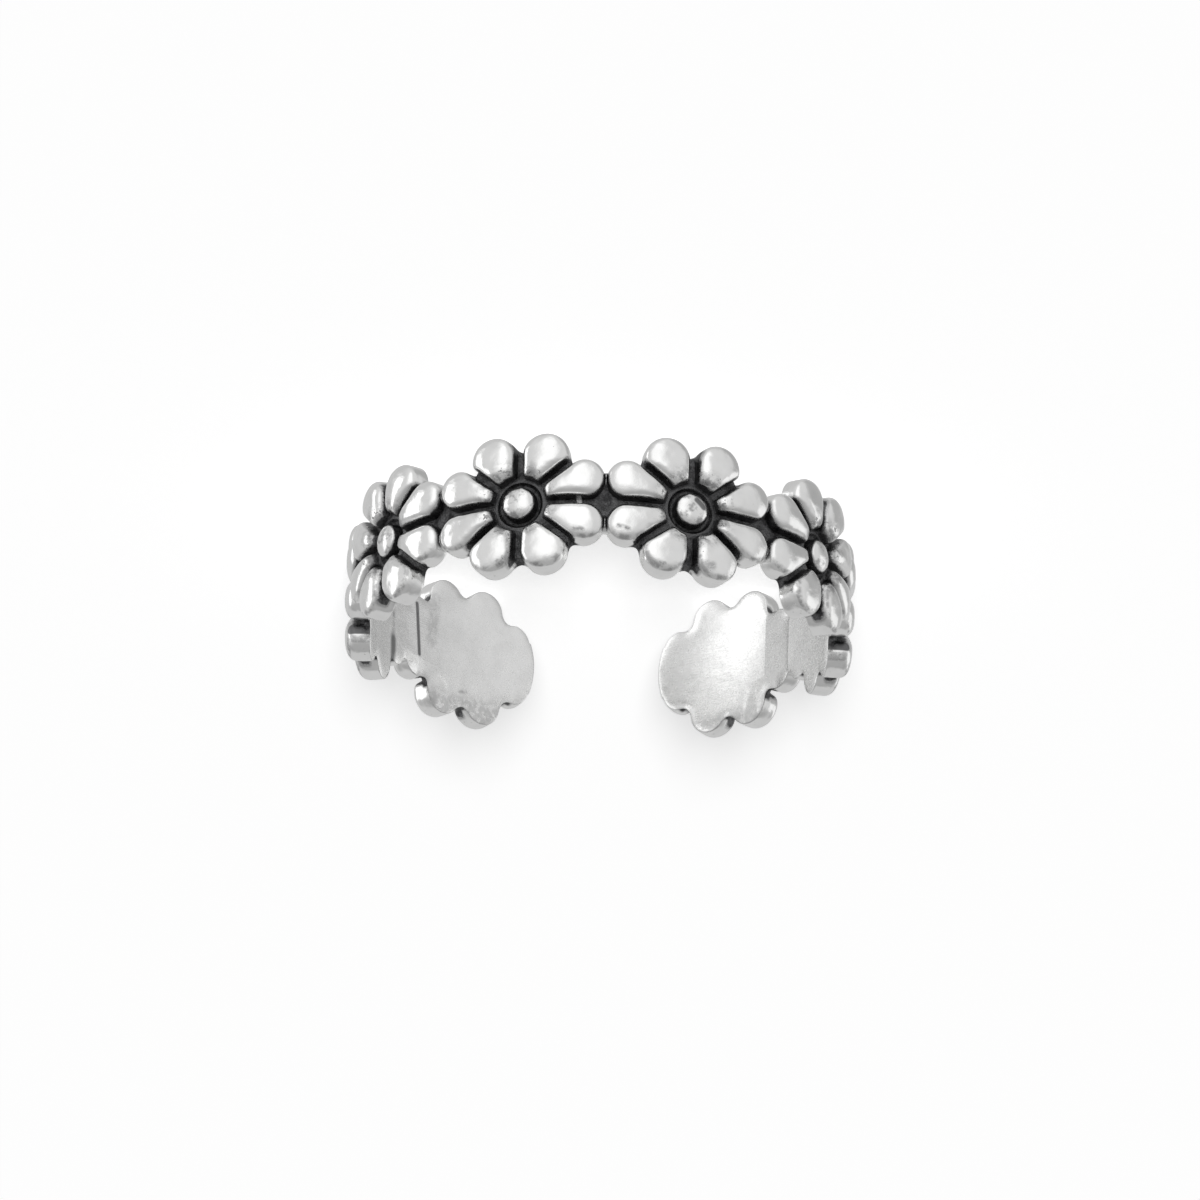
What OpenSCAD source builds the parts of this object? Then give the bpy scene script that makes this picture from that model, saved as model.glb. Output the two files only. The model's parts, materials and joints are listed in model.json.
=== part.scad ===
// Open toe ring: a row of eight daisies cast in one piece and bent into a band.
// Millimetres. The ring lies on its side: +Z is the axis of the bore, Z = 0 is the
// surface it rests on, the closed side faces -Y and the opening faces +Y.

/* [Band] */
// Diameter of the bore that the toe goes through
bore_d = 15; // [14.5:0.5:17]
// Width of the band, from the lowest petals to the highest
band_w = 4.8; // [4.7:0.05:5]
// Thickness of the plate behind the petals
back_t = 0.4; // [0.35:0.05:0.5]
// Daisies in the row
flowers = 8; // [5:1:8]
// Distance from one daisy's centre to the next, along the row
flower_pitch = 5.77; // [5.7:0.01:5.85]
// Height of the neck that joins two daisies
neck_h = 2.06; // [1.8:0.02:2.2]

/* [Petals] */
// Height of a petal's crest over the bore
crest_h = 1; // [0.95:0.05:1.1]
// Radius of the round end of an upright petal
upright_lobe_r = 0.72; // [0.68:0.01:0.75]
// Radius of the round end of a side petal
side_lobe_r = 0.63; // [0.6:0.01:0.66]
// Reach of a side petal from the daisy's centre, along the row
side_reach = 2.74; // [2.7:0.01:2.8]
// Width of the groove between the two upright petals
upright_groove = 0.31; // [0.26:0.01:0.36]
// Width of the groove between the two side petals
side_groove = 0.25; // [0.22:0.01:0.3]
// Width of the slanting groove between an upright and a side petal
slant_groove = 0.28; // [0.24:0.01:0.32]
// Angle of the slanting groove from the row
slant_deg = 38.5; // [37:0.5:40]

/* [Daisy centre] */
// Diameter of the domed disc
disc_d = 1.12; // [1.06:0.02:1.2]
// Height of the disc's crest over the bore
disc_h = 0.68; // [0.62:0.02:0.74]
// Inner diameter of the flat collar round the disc
collar_in_d = 1.5; // [1.44:0.02:1.56]
// Outer diameter of the collar
collar_out_d = 1.76; // [1.7:0.02:1.8]
// Height of the collar over the plate
collar_h = 0.08; // [0.06:0.01:0.12]
// Diameter of the circle on which the petals' tips end
tip_circle_d = 1.9; // [1.86:0.01:2]

/* [Hidden] */
$fn = 96;
bore_r = bore_d / 2;
// Radius at which distances along the row are measured, about the petals' shoulders
row_r = bore_r + 0.55;
pitch_deg = deg_along(flower_pitch);
closed_side = -90;
mid_z = band_w / 2;
// Every piece starts this far inside the bore, which is then cut through them all
root_r = bore_r - 0.5;
// Height over the bore at which the plain blocks end, clear of every petal
block_h = 1.6;

// A lobe bulges a little into the groove beside it, which cuts it straight
lobe_bulge = 0.02;
upright_lobe = [upright_groove / 2 - lobe_bulge + upright_lobe_r, band_w / 2 - upright_lobe_r];
side_lobe = [side_reach - side_lobe_r, side_groove / 2 - lobe_bulge + side_lobe_r];

// A petal is a lobe's centre, its radius, the direction in which the petal leaves the
// disc, its crown's radius across and along the petal, and where the crown's middle
// lies on the way from the daisy's centre to the lobe's
LOBE = 0;
LOBE_R = 1;
ROOT_DEG = 2;
CROWN = 3;
CROWN_AT = 4;
upright_petal = [upright_lobe, upright_lobe_r, (slant_deg + 90) / 2, [0.95, 1.2], 0.92];
side_petal = [side_lobe, side_lobe_r, slant_deg / 2, [0.85, 1.35], 0.9];
// Half length at which a crown is cut off, outside the petal's own outline
crown_half_l = 1;

// Plate behind one daisy: round at both ends, with notches between the petals
plate_end = 2.6;
plate_end_r = 2.22;
top_notch = [0, 1.93];
slant_notch = [1.54, 1.3];
plate_end_deg = 33;

// Block of a neck along the row, and the dimple sunk in it
neck_l = 1.8;
dimple_r = 0.5;
dimple_depth = 0.12;

function deg_along(distance) = distance / row_r * 180 / PI;

// Angle of place i in a row of n, centred on the closed side
function row_deg(i, n) = closed_side + (i - (n - 1) / 2) * pitch_deg;

// Drawing plane on the band: x along the row, y along the bore, z out from the axis
module on_band(deg) {
    translate([0, 0, mid_z]) rotate([0, 0, deg]) rotate([90, 0, 90]) children();
}

// Prism of a flat outline, from inside the bore outwards
module radial_block() {
    translate([0, 0, root_r]) linear_extrude(bore_r + block_h - root_r) children();
}

// Outline of one petal in the quarter x > 0, y > 0: round lobe and straight flanks
module petal_outline(petal) {
    lobe = petal[LOBE];
    slant_dir = [cos(slant_deg), sin(slant_deg)];
    slant_foot = slant_dir * (lobe * slant_dir);
    straight_foot = lobe.x < lobe.y ? [0, lobe.y] : [lobe.x, 0];
    difference() {
        union() {
            translate(lobe) circle(petal[LOBE_R]);
            polygon([[0, 0], straight_foot, lobe, slant_foot]);
        }
        square([upright_groove, 4 * lobe.y], center = true);
        square([4 * lobe.x, side_groove], center = true);
        rotate(slant_deg) translate([0, -slant_groove / 2]) square([2 * norm(lobe), slant_groove]);
        circle(d = tip_circle_d);
    }
}

// Barrel that rounds a petal's top, lying along X
module crown(across_r, along_r) {
    rotate([0, 90, 0]) rotate_extrude() intersection() {
        translate([across_r - along_r, 0]) circle(along_r);
        translate([0, -crown_half_l]) square([across_r, 2 * crown_half_l]);
    }
}

// One petal of the quarter x > 0, y > 0: the outline's block under its own crown.
// X = 0 is the crown's middle, so that the petal stands square to the band there.
module petal_solid(petal) {
    lobe = petal[LOBE];
    middle = lobe * petal[CROWN_AT];
    root = tip_circle_d / 2 * [cos(petal[ROOT_DEG]), sin(petal[ROOT_DEG])];
    lean = atan2(lobe.y - root.y, lobe.x - root.x);
    intersection() {
        radial_block() translate([-middle.x, 0]) petal_outline(petal);
        translate([0, middle.y, bore_r + crest_h - petal[CROWN][0]])
            rotate([0, 0, lean]) crown(petal[CROWN][0], petal[CROWN][1]);
    }
}

// The eight petals of one daisy, four quarters of two
module petals(deg) {
    for (petal = [upright_petal, side_petal], right = [-1, 1], up = [-1, 1])
        on_band(deg + right * deg_along(petal[LOBE].x * petal[CROWN_AT]))
            mirror([right < 0 ? 1 : 0, 0, 0]) mirror([0, up < 0 ? 1 : 0, 0]) petal_solid(petal);
}

// Domed disc and flat collar at a daisy's centre
module daisy_centre(deg) {
    disc_rise = disc_h - back_t;
    disc_r = (pow(disc_d / 2, 2) + pow(disc_rise, 2)) / (2 * disc_rise);
    on_band(deg) {
        translate([0, 0, bore_r + disc_h - disc_r]) sphere(disc_r);
        difference() {
            translate([0, 0, root_r]) cylinder(d = collar_out_d, h = bore_r + back_t + collar_h - root_r);
            translate([0, 0, bore_r]) cylinder(d = collar_in_d, h = block_h);
        }
    }
}

// Outline of the plate behind one daisy: notches between the petals, round ends
module plate_outline() {
    arc = [for (a = [-plate_end_deg : plate_end_deg / 3 : plate_end_deg])
        [plate_end - plate_end_r * (1 - cos(a)), plate_end_r * sin(a)]];
    low_side = [[top_notch.x, -top_notch.y], [slant_notch.x, -slant_notch.y]];
    union() for (side = [0, 1]) mirror([side, 0]) polygon(concat(low_side, arc, [slant_notch, top_notch]));
}

// Plate and necks: blocks trimmed to one round outer face
module back_plate() {
    intersection() {
        cylinder(r = bore_r + back_t, h = band_w);
        union() {
            for (i = [0 : flowers - 1]) on_band(row_deg(i, flowers)) radial_block() plate_outline();
            for (i = [0 : flowers - 2])
                on_band(row_deg(i, flowers - 1)) radial_block() square([neck_l, neck_h], center = true);
        }
    }
}

// Dimples sunk into the necks
module dimples() {
    for (i = [0 : flowers - 2])
        on_band(row_deg(i, flowers - 1))
            translate([0, 0, bore_r + back_t + dimple_r - dimple_depth]) sphere(dimple_r);
}

module daisy_band() {
    color("silver") difference() {
        union() {
            difference() {
                back_plate();
                dimples();
            }
            for (i = [0 : flowers - 1]) {
                petals(row_deg(i, flowers));
                daisy_centre(row_deg(i, flowers));
            }
        }
        translate([0, 0, -1]) cylinder(r = bore_r, h = band_w + 2);
    }
}

daisy_band();
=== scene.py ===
"""Looks of an open silver toe ring: a cast row of eight daisies, bent round the bore.

Everything is in metres in the row's own frame: +Z is the axis of the bore, the ring
lies on Z = 0, the closed side faces -Y and the opening faces +Y. The row is first made
flat, with U along the row, V along the bore and H out from it, and then bent round.
"""
import json
import math

import bpy
import numpy as np
from mathutils import Matrix, Vector
from mathutils.geometry import delaunay_2d_cdt

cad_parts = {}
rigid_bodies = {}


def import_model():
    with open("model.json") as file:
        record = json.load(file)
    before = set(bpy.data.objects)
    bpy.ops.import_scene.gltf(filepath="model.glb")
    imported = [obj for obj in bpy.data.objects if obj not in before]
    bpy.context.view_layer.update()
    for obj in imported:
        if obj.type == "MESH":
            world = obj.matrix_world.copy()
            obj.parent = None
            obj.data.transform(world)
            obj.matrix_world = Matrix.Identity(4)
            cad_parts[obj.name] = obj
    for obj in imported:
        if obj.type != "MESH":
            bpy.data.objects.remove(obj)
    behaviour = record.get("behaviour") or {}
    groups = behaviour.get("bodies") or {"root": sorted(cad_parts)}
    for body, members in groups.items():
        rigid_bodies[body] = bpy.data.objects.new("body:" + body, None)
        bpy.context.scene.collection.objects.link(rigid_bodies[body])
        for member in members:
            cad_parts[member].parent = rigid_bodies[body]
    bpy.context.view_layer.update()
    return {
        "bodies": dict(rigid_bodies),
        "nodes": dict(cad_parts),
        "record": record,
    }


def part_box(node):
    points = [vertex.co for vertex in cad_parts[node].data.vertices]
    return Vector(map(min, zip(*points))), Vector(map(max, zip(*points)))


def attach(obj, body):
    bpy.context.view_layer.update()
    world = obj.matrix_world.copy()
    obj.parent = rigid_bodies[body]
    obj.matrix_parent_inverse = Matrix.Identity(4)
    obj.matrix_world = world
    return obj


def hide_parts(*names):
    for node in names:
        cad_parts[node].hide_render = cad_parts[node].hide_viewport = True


bl_info = {
    "name": "Daisy Toe Ring",
    "version": (1, 0, 0),
    "blender": (4, 5, 0),
    "location": "View3D > Sidebar > Toe Ring",
    "description": "An open silver toe ring of eight cast daisies, with its blackened grooves",
    "category": "Add Mesh",
}

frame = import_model()

MM = 0.001
BAND = "daisy_band"
TOE_BORE = next(m for m in frame["record"]["mounts"] if m["name"] == "toe_bore")
BORE_R = TOE_BORE["dims"]["r_mm"] * MM
BAND_LOW, BAND_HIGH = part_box(BAND)
BAND_W = BAND_HIGH.z - BAND_LOW.z
MID_HEIGHT = (BAND_LOW.z + BAND_HIGH.z) / 2
CREST_R = max(math.hypot(v.co.x, v.co.y) for v in frame["nodes"][BAND].data.vertices)


def mm(*lengths):
    """Lengths in millimetres, in metres."""
    return tuple(length * MM for length in lengths)


# Points round a petal's outline, and the softening of its corners
ON_OUTLINE, OUTLINE_SOFT = 76, 0.035 * MM
# A petal's rounding in degrees, from its wall to its crest, and how full it is
DOME_TURNS, DOME_FULLNESS = (0, 3, 8, 14, 21, 29, 38, 47, 56, 65, 75), 2.8
# How far in its wall and its dome begin, as shares of the way to the crest, and the
# softening of the dome's rings in millimetres, at its foot and more towards the crest
FOOT_IN, DOME_IN, DOME_SOFT, DOME_SOFTER = 0.006, 0.99, 0.05, 0.5
# Where the crest lies on the way from the daisy's centre to the petal's round end, and the
# turn of the rounding at which the last of the blackening is rubbed off
CREST_AT, CREEP = 0.91, 36
# Height of a petal's wall, how much lower it is at the root, how much lower the side petals
# stand, and how far a petal's round end bulges into the groove beside it
WALL_H, WALL_ROOT_DROP, SIDE_LOWER, LOBE_BULGE = mm(0.52, 0.06, 0.006, 0.02)

# The web: the moat round the disc, the disc's dome, the saddle where the side petals of two
# daisies nearly meet, and the dimple of a neck with its radius
MOAT_DEPTH, DISC_RISE, SADDLE_RISE, NECK_DIMPLE, NECK_DIMPLE_R = mm(0.08, 0.3, 0.3, 0.12, 0.36)
# The saddle's soft rim, how much longer than wide it is, and how far its black is rubbed off
SADDLE_RIM, SADDLE_LONGER, SADDLE_BARE = mm(0.1, 0.34), 1.6, 0.85
# Distance of the notches from the daisy's centre, at the web and at the inner face
TOP_NOTCH_WEB, TOP_NOTCH_INNER = mm(1.84, 1.9)
SLANT_NOTCH_WEB, SLANT_NOTCH_INNER = mm(2.12, 2.19)
# What a notch takes in of an outline: how far before it that begins, the sides of the
# slanting one, half the width of the top one, and the soft rim and rounds of smoothing
NOTCH_FROM, TOP_NOTCH_HALF = mm(0.1, 0.22)
SLANT_NOTCH_SIDES, NOTCH_RIM, NOTCH_ROUNDS = mm(-0.16, 0.34), mm(0.2, 0.45), 14
# The soft rim of a notch's black, and how much smaller the top one's black is
NOTCH_BLACK, TOP_NOTCH_SMALLER = mm(0.16, 0.42), 1.6

# Where the black of a petal's flanks fades to its bare outer side: about the slanting notch
# and sooner aside from it, about the top notch and the neck, and at the row's two ends
FADE_SLANT, FADE_ASIDE, FADE_ASIDE_FROM = mm(-0.05, 0.3), 0.5, 0.14 * MM
FADE_TOP, FADE_NECK, FADE_END = mm(-0.1, 0.15), mm(-0.25, 0.1), mm(1.9, 2.2)
# An upright petal reaches higher than this; its side by the groove and its middle
UPRIGHT_OVER, BY_UPRIGHT_GROOVE, UPRIGHT_MIDDLE = mm(2, 0.5, 0.45)
# A place that is never the nearest
NOWHERE = 9.0

# The round end of the row: its arc's centre and radius, where it leaves the last petal,
# its steps, and its first gap in radians
END_CENTRE, END_R, END_LEAVES, END_STEP = mm(0.256, 2.624, 0.95, 0.07)
END_GAP = 0.03
# Blackening of a neck's edge, steps across a neck, and points round the disc
NECK_OXIDE, NECK_STEPS, ON_DISC = 0.2, 26, 60
# Rings of points, as shares of the disc's radius, and past the collar's two radii
DISC_RINGS = (0.25, 0.45, 0.62, 0.76, 0.87, 0.945, 0.985, 1.0)
COLLAR_IN_RINGS, COLLAR_OUT_RINGS = mm(-0.05, -0.025, 0, 0.025, 0.05), mm(-0.09, -0.04, 0.01)
PAST_DISC_RING = 0.02 * MM
# Share of the disc's radius within which it is bare
DISC_BARE = 0.88
# Step of the grids of points on the web and on the back, and their distance from the edge
WEB_GRID, BACK_GRID = mm(0.09, 0.05), mm(0.14, 0.07)

# The back: how much flatter than the bore it is behind a daisy, and how deep and how far in
# its edges are worn
BACK_FLATTER, BACK_WORN, BACK_WORN_W = mm(0.14, 0.055, 0.4)
# Turns of its rounded edge in degrees, and the longest step between neighbours on the edge
EDGE_TURNS, NEIGHBOURS = (30, 60, 90), 0.3 * MM
# Blackening in the notches, on the wall and on the back's rim
WALL_BLACK, FACE_BLACK = 0.9, 0.3

# The row: distance at which vertices weld, the wobble's scale and its seed, the heights over
# which it grows, and the part of the width before it fades out
WELD, WOBBLE_SCALE, WOBBLE_SEED, WOBBLE_RISE, WOBBLE_WIDTH = 1e-7, 0.9 / MM, 3.0, mm(0, 0.4), 0.8
# Angle from which an edge is sharp
SHARP_FROM = math.radians(55)


def metres(text, millimetres, about):
    """A length that the user can change."""
    return bpy.props.FloatProperty(
        name=text, default=millimetres * MM, description=about, min=0, precision=5, unit="LENGTH")


def shade(text, default, about):
    """A colour that the user can change."""
    return bpy.props.FloatVectorProperty(
        name=text, default=default, description=about, size=3, min=0, max=1, subtype="COLOR")


def angle(text, degrees, about):
    """An angle that the user can change."""
    return bpy.props.FloatProperty(
        name=text, default=math.radians(degrees), description=about, unit="ROTATION")


def share(text, default, about, top=1):
    """A plain number that the user can change."""
    return bpy.props.FloatProperty(name=text, default=default, description=about, min=0, max=top)


class ToeRingSizes(bpy.types.PropertyGroup):
    """Sizes of the cast row."""
    flowers: bpy.props.IntProperty(
        name="Daisies", default=8, min=3, max=8, description="Daisies in the row")
    pitch: metres("Pitch", 5.77, "From one daisy's centre to the next, along the row")
    row_height: metres("Row height", 0.55, "Height over the bore at which the row is measured")
    plate: metres("Plate", 0.4, "Thickness of the plate behind the petals")
    crest: metres("Crest", (CREST_R - BORE_R) / MM - 0.016, "Height of a petal's crest over the bore")
    neck_half: metres("Neck", 1.03, "Half the height of the neck between two daisies")
    edge_round: metres("Inner edge", 0.05, "Radius of the rounded inner edge")
    upright_r: metres("Upright petal", 0.78, "Radius of an upright petal's round end")
    side_r: metres("Side petal", 0.676, "Radius of a side petal's round end")
    side_reach: metres("Reach", 2.868, "Reach of a side petal from the daisy's centre")
    end_reach: metres("End reach", 2.68, "Reach of the side petals at the row's two ends")
    end_crest: metres("End crest", 0.91, "Height of the side petals at the row's two ends")
    end_upright_r: metres("End upright petal", 0.73, "Radius of the last upright petals")
    upright_groove: metres("Upright groove", 0.26, "Groove between the two upright petals")
    side_groove: metres("Level groove", 0.22, "Groove between the two side petals")
    slant_groove: metres("Slanting groove", 0.2, "Groove between an upright and a side petal")
    slant: angle("Slant", 38.5, "Angle of the slanting groove from the row")
    root_r: metres("Petal roots", 0.91, "Distance of the petals' roots from the daisy's centre")
    disc_r: metres("Disc", 0.58, "Radius of the domed disc at a daisy's centre")
    disc_h: metres("Disc height", 0.84, "Height of the disc's crest over the bore")
    collar_in: metres("Collar inside", 0.75, "Inner radius of the collar round the disc")
    collar_out: metres("Collar outside", 0.95, "Outer radius of the collar")
    collar_h: metres("Collar height", 0.47, "Height of the collar over the bore")
    wobble: metres("Wobble", 0.05, "How far the cast petals stray from their even form")


def unit(turn):
    """Directions along and across a groove that leaves the centre at this angle."""
    along = np.array([math.cos(turn), math.sin(turn)])
    return along, np.array([-along[1], along[0]])


def arc(centre, radius, start, stop, step):
    """Points of an arc about a centre, both ends included."""
    count = max(2, int(abs(stop - start) * radius / step) + 1)
    turn = np.linspace(start, stop, count)
    return np.asarray(centre) + radius * np.stack([np.cos(turn), np.sin(turn)], 1)


def resample(loop, count):
    """A closed loop again, with this many points at even steps."""
    closed = np.vstack([loop, loop[:1]])
    steps = np.linalg.norm(np.diff(closed, axis=0), axis=1)
    at = np.concatenate([[0], np.cumsum(steps)])
    want = np.linspace(0, at[-1], count, endpoint=False)
    return np.stack([np.interp(want, at, closed[:, k]) for k in (0, 1)], 1)


def soften(loop, reach):
    """A closed loop of even steps with its corners rounded over about this length."""
    length = np.linalg.norm(np.diff(np.vstack([loop, loop[:1]]), axis=0), axis=1).sum()
    waves = np.fft.fftfreq(len(loop), 1 / len(loop)) * 2 * math.pi / length
    turned = np.fft.fft(loop[:, 0] + 1j * loop[:, 1]) * np.exp(-0.5 * (waves * reach) ** 2)
    back = np.fft.ifft(turned)
    return np.stack([back.real, back.imag], 1)


def smooth_step(low, high, x):
    """0 below low, 1 above high, and smooth between."""
    t = np.clip((np.asarray(x, float) - low) / (high - low), 0, 1)
    return t * t * (3 - 2 * t)


class Flower:
    """Outlines of one daisy, in metres, for its quarter of positive U and V."""

    def __init__(self, sizes, at_end):
        self.s = s = sizes
        self.at_end = at_end
        reach, self.side_crest, upright_r = (
            (s.end_reach, s.end_crest, s.end_upright_r) if at_end
            else (s.side_reach, s.crest - SIDE_LOWER, s.upright_r))
        self.upright_lobe = np.array([
            s.upright_groove / 2 - LOBE_BULGE + upright_r, BAND_W / 2 - upright_r])
        self.side_lobe = np.array([reach - s.side_r, s.side_groove / 2 - LOBE_BULGE + s.side_r])
        self.half_pitch = s.pitch / 2
        level, slant, upright = (
            (0.0, s.side_groove / 2), (s.slant, s.slant_groove / 2), (math.pi / 2, s.upright_groove / 2))
        self.upright = self.petal(self.upright_lobe, upright_r, slant, upright)
        self.side = self.petal(self.side_lobe, s.side_r, level, slant)

    def petal(self, lobe, lobe_r, low_groove, high_groove):
        """A petal between two grooves, each an angle and half a width, as a loop to the left."""
        ends = []
        for (turn, half), sign in ((low_groove, 1), (high_groove, -1)):
            along, across = unit(turn)
            foot, rise = lobe @ along, lobe @ across
            far = foot + math.sqrt(lobe_r ** 2 - (rise - sign * half) ** 2)
            near = math.sqrt(self.s.root_r ** 2 - half ** 2)
            ends.append([near * along + sign * half * across, far * along + sign * half * across])
        (low_root, low_far), (high_root, high_far) = ends
        start, stop = (math.atan2(*(p - lobe)[::-1]) for p in (low_far, high_far))
        stop += 2 * math.pi * (stop < start)
        fine = 0.01 * MM
        root_turn = [math.atan2(*p[::-1]) for p in (high_root, low_root)]
        loop = np.vstack([
            low_root,
            arc(lobe, lobe_r, start, stop, fine),
            arc((0, 0), self.s.root_r, *root_turn, fine)[:-1],
        ])
        return soften(resample(loop, ON_OUTLINE), OUTLINE_SOFT)

    def inner_outline(self, web):
        """The outline at the inner face, where the plate reaches further out in the notches."""
        mirror = np.where(web < 0, -1, 1)
        along, across = unit(self.s.slant)
        quarter = web * mirror
        reach, off = quarter @ along, quarter @ across
        low, high = SLANT_NOTCH_SIDES
        in_slant = (off < high) & (off > low) & (reach > SLANT_NOTCH_WEB - NOTCH_FROM)
        pull = np.where(in_slant, np.clip(SLANT_NOTCH_INNER - reach, 0, None), 0)
        u, v = quarter.T
        in_top = (u < TOP_NOTCH_HALF) & (v > TOP_NOTCH_WEB - NOTCH_FROM)
        rise = np.where(in_top, np.clip(TOP_NOTCH_INNER - v, 0, None), 0)
        quarter = quarter + pull[:, None] * along + rise[:, None] * [0, 1]
        notches = np.array([SLANT_NOTCH_INNER * along, [0, TOP_NOTCH_INNER]])
        away = np.linalg.norm(quarter[:, None] - notches[None], axis=2).min(1)
        weight = (1 - smooth_step(*NOTCH_RIM, away))[:, None]
        loop = quarter * mirror
        for _ in range(NOTCH_ROUNDS):
            loop = loop + weight * ((np.roll(loop, 1, 0) + np.roll(loop, -1, 0)) / 2 - loop)
        return loop

    def web_height(self, points):
        """Height of the web's surface: plate, collar, moat, disc and the dimples of the necks."""
        s = self.s
        r = np.linalg.norm(points, axis=1)
        h = np.full(len(points), s.plate)
        ledge = 0.05 * MM
        in_collar = smooth_step(s.collar_in - ledge, s.collar_in + ledge, r)
        out_collar = 1 - smooth_step(s.collar_out - 3 * ledge, s.collar_out + 2 * ledge, r)
        h += (s.collar_h - s.plate) * in_collar * out_collar
        h -= MOAT_DEPTH * (1 - in_collar)
        disc = np.sqrt(np.clip(1 - (r / s.disc_r) ** 2, 0, 1))
        h = np.where(r <= s.disc_r, s.disc_h - DISC_RISE * (1 - disc), h)
        from_neck = np.linalg.norm(np.abs(points) - [self.half_pitch, 0], axis=1)
        h -= NECK_DIMPLE * (1 - smooth_step(0, NECK_DIMPLE_R, from_neck))
        return h + SADDLE_RISE * self.on_saddle(points)

    def in_notch(self, points):
        """1 in the notches between the petals' round ends, which stay black, 0 away from them."""
        quarter = np.abs(points)
        along, _ = unit(self.s.slant)
        slant = np.linalg.norm(quarter - SLANT_NOTCH_INNER * along, axis=1)
        top = np.linalg.norm(quarter - [0, TOP_NOTCH_INNER], axis=1)
        return 1 - smooth_step(*NOTCH_BLACK, np.minimum(slant, top * TOP_NOTCH_SMALLER))

    def on_saddle(self, points):
        """1 where two neighbouring daisies' side petals nearly meet, 0 away from there."""
        u, v = np.abs(points).T
        off = np.hypot((u - self.half_pitch) / SADDLE_LONGER, v - self.side_lobe[1])
        return 1 - smooth_step(*SADDLE_RIM, off)

    def web_oxide(self, points):
        """Blackening of the web's surface, which is rubbed on the saddles."""
        return 1 - SADDLE_BARE * self.on_saddle(points)


def pairs(ring):
    """Each item of a ring with the next one."""
    return list(zip(ring, (*ring[1:], ring[0])))


def distance(points, others):
    """Distance of each point from the nearest of others."""
    return np.linalg.norm(points[:, None] - others[None], axis=2).min(1)


def place_object(name, data):
    """A new object in the scene."""
    thing = bpy.data.objects.new(name, data)
    bpy.context.collection.objects.link(thing)
    return thing


class Skin:
    """A surface under construction, in flat row coordinates."""

    def __init__(self):
        self.points, self.oxide, self.back, self.faces = [], [], [], []

    def add(self, flat, heights, oxide, back=0):
        """New vertices; returns their numbers."""
        first = len(self.points)
        heights = np.broadcast_to(heights, len(flat))
        self.points += [(u, v, h) for (u, v), h in zip(flat, heights)]
        self.oxide += list(np.broadcast_to(oxide, len(flat)))
        self.back += [back] * len(flat)
        return list(range(first, len(self.points)))

    def flat(self, numbers):
        """Where vertices lie on the flat row."""
        return np.array([self.points[n][:2] for n in numbers])

    def lift(self, numbers, heights):
        """Set the heights of vertices."""
        for n, h in zip(numbers, heights):
            self.points[n] = (*self.points[n][:2], h)

    def face(self, numbers, flip=False):
        """A new face, turned over or not."""
        self.faces.append(numbers[::-1] if flip else numbers)

    def fill(self, border, inside, face_up):
        """Triangles inside a border of vertices, over inner vertices."""
        numbers = border + inside
        places, _, triangles, origins, *_ = delaunay_2d_cdt(
            [Vector(p) for p in self.flat(numbers) / MM], pairs(range(len(border))), [], 1, 1e-7)
        source = [numbers[origin[0]] for origin in origins]
        for a, b, c in triangles:
            turn = (places[b] - places[a]).cross(places[c] - places[a])
            self.face([source[a], source[b], source[c]], (turn > 0) != face_up)


def inside_loop(points, loop):
    """Which points lie inside a closed loop."""
    x, y = points[:, :1], points[:, 1:]
    x0, y0 = loop[:, 0], loop[:, 1]
    x1, y1 = np.roll(x0, -1), np.roll(y0, -1)
    crosses = (y0 > y) != (y1 > y)
    with np.errstate(divide="ignore", invalid="ignore"):
        at = x0 + (y - y0) * (x1 - x0) / (y1 - y0)
    return (crosses & (x < at)).sum(1) % 2 == 1


def hex_grid(loop, step, clear):
    """Even points inside a closed loop, clear of its own points."""
    low, high = loop.min(0), loop.max(0)
    rows = np.arange(low[1], high[1], step * math.sqrt(0.75))
    columns = np.arange(low[0], high[0] + step, step)
    grid = np.array([(u + step / 2 * (k % 2), v) for k, v in enumerate(rows) for u in columns])
    grid = grid[inside_loop(grid, loop)]
    return grid[distance(grid, loop) > clear]


def petal_rings(skin, flower, outline, lobe, crest, side, up):
    """A domed petal on its groove floor; returns the vertices of its foot."""
    crest_at = lobe * CREST_AT
    flip = side * up < 0
    mirror = np.array([side, up])
    axis = crest_at / np.linalg.norm(crest_at)
    outward = (outline - crest_at) @ axis
    wall = WALL_H + WALL_ROOT_DROP * np.clip(outward / np.abs(outward.min()), -1, 0)
    foot_h = flower.web_height(outline)
    grooved = 1 - outer_share(flower, outline)
    low_wall = outline + (crest_at - outline) * FOOT_IN
    rings = [skin.add(outline * mirror, foot_h, grooved),
             skin.add(low_wall * mirror, (foot_h + wall) / 2, grooved)]
    for turn in DOME_TURNS:
        inset, rise = (f(math.radians(turn)) ** (2 / DOME_FULLNESS) for f in (math.cos, math.sin))
        loop = soften(outline, (DOME_SOFT + DOME_SOFTER * (1 - inset)) * MM)
        ring = crest_at + (loop - crest_at) * inset * DOME_IN
        height = wall + (crest - wall) * rise
        rings.append(skin.add(ring * mirror, height, grooved * max(0, 1 - turn / CREEP)))
    for low, high in zip(rings, rings[1:]):
        for (a, b), (d, c) in zip(pairs(low), pairs(high)):
            skin.face([a, b, c, d], flip)
    top = skin.add(crest_at[None] * mirror, crest, 0)[0]
    for a, b in pairs(rings[-1]):
        skin.face([a, b, top], flip)
    return rings[0]


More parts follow.
